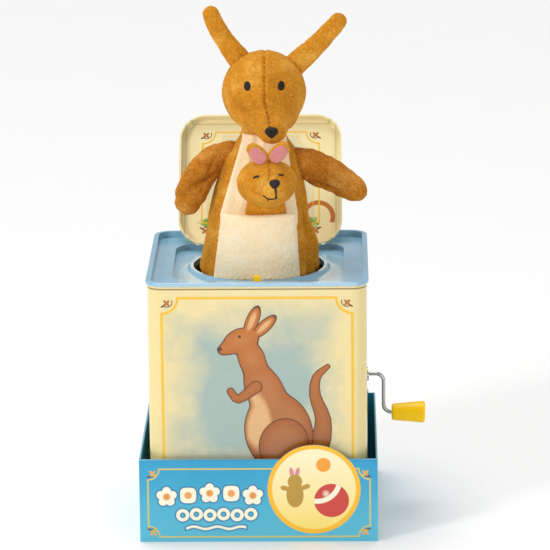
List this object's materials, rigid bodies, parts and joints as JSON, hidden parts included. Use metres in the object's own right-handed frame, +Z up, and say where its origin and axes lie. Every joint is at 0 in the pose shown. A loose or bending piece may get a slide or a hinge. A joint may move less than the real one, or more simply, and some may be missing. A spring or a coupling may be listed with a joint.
{
  "type": "jack in the box",
  "caption": "Crank-driven jack in the box: square tin box with a hinged lid in a card tray, and a plush kangaroo with a baby in its pouch, on a spring.",
  "frame": {"origin": "on the floor, under the middle of the card tray", "axes": "+Z up, +X towards the crank, -Y towards the front"},
  "size_m": [0.1817, 0.1846, 0.3315],
  "materials": {
    "printed_card": "printed solid board, satin",
    "printed_tin": "lithographed tinplate, satin",
    "bare_tin": "plain tinplate",
    "blue_tin": "enamelled tinplate, gloss",
    "cream_tin": "lithographed tinplate, gloss",
    "steel_wire": "bright drawn steel",
    "brass": "turned brass",
    "zinc": "dull cast zinc",
    "yellow_plastic": "moulded, gloss",
    "white_plastic": "moulded, matt",
    "lining_cloth": "plain woven cloth",
    "golden_plush": "short pile plush",
    "brown_plush": "short pile plush",
    "cream_plush": "short pile plush",
    "pink_felt": "felt",
    "black_thread": "embroidery thread"
  },
  "bodies": {
    "display_tray": {"display_tray": "printed_card"},
    "tin_box": {"tin_body": "printed_tin", "bottom_plate": "bare_tin", "top_plate": "blue_tin", "hinge_pins": "steel_wire", "crank_bush": "brass", "movement_frame": "zinc", "movement_comb": "steel_wire", "comb_clamp": "zinc", "comb_screws": "steel_wire", "wall_screws": "steel_wire", "rocker_brackets": "zinc", "spring_base_disc": "white_plastic", "base_rivets": "steel_wire", "puppet_skirt": "lining_cloth", "jack_spring": "steel_wire"},
    "lid": {"lid": "cream_tin"},
    "puppet": {"spring_cap": "white_plastic", "puppet_torso": "golden_plush", "bib": "cream_plush", "pouch": "cream_plush", "puppet_head": "golden_plush", "puppet_nose": "black_thread", "puppet_eyes": "black_thread", "ear_left": "golden_plush", "ear_right": "golden_plush"},
    "arm_left": {"arm_left": "brown_plush"},
    "arm_right": {"arm_right": "brown_plush"},
    "baby": {"baby_body": "golden_plush", "baby_head": "golden_plush", "baby_nose": "black_thread", "baby_ears": "golden_plush", "baby_ear_linings": "pink_felt"},
    "crank": {"crank_rod": "steel_wire", "crank_pinion": "brass"},
    "knob": {"crank_knob": "yellow_plastic"},
    "drum": {"music_drum": "brass", "drum_gear": "brass", "drum_shaft": "steel_wire", "release_cam": "white_plastic"},
    "latch": {"latch_hook": "yellow_plastic", "latch_rocker": "steel_wire"}
  },
  "joints": [
    {"name": "lift_from_tray", "type": "slide", "parent": "display_tray", "child": "tin_box", "axis": [0, 0, 1], "range_m": [0, 0.12]},
    {"name": "lid_hinge", "type": "hinge", "parent": "tin_box", "child": "lid", "pos_m": [0, 0.04564, 0.1644], "axis": [1, 0, 0], "range_deg": [0, 130]},
    {"name": "puppet_pop", "type": "slide", "parent": "tin_box", "child": "puppet", "axis": [0, 0, 1], "range_m": [-0.151, 0], "stiffness_N_per_m": 40, "springref_m": 0.06, "deforming": ["jack_spring", "puppet_skirt", "ear_left", "ear_right", "arm_left", "arm_right", "pouch", "baby_body", "baby_head", "baby_nose", "baby_ears", "baby_ear_linings"]},
    {"name": "crank_turn", "type": "hinge", "parent": "tin_box", "child": "crank", "pos_m": [0.0688, 0, 0.0886], "axis": [1, 0, 0], "continuous": true},
    {"name": "knob_spin", "type": "hinge", "parent": "crank", "child": "knob", "pos_m": [0.095, 0, 0.0628], "axis": [1, 0, 0], "continuous": true},
    {"name": "drum_turn", "type": "hinge", "parent": "tin_box", "child": "drum", "pos_m": [0.055, -0.0196, 0.0886], "axis": [1, 0, 0], "continuous": true},
    {"name": "latch_rock", "type": "hinge", "parent": "tin_box", "child": "latch", "pos_m": [0, -0.05475, 0.15], "axis": [1, 0, 0], "range_deg": [0, 8]},
    {"name": "arm_left_swing", "type": "hinge", "parent": "puppet", "child": "arm_left", "pos_m": [-0.0276, -0.002, 0.2335], "axis": [0, 1, 0], "range_deg": [-15, 25], "stiffness_Nm_per_rad": 0.12},
    {"name": "arm_right_swing", "type": "hinge", "parent": "puppet", "child": "arm_right", "pos_m": [0.0342, -0.002, 0.2275], "axis": [0, 1, 0], "range_deg": [-25, 25], "stiffness_Nm_per_rad": 0.12},
    {"name": "baby_lift", "type": "slide", "parent": "puppet", "child": "baby", "axis": [0, 0.5501, -0.8351], "range_m": [-0.07, 0]}
  ],
  "couplings": [
    {"joint": "puppet_pop", "follows": "lid_hinge", "m_per_rad": -0.066551},
    {"joint": "drum_turn", "follows": "crank_turn", "ratio": -0.33333}
  ]
}
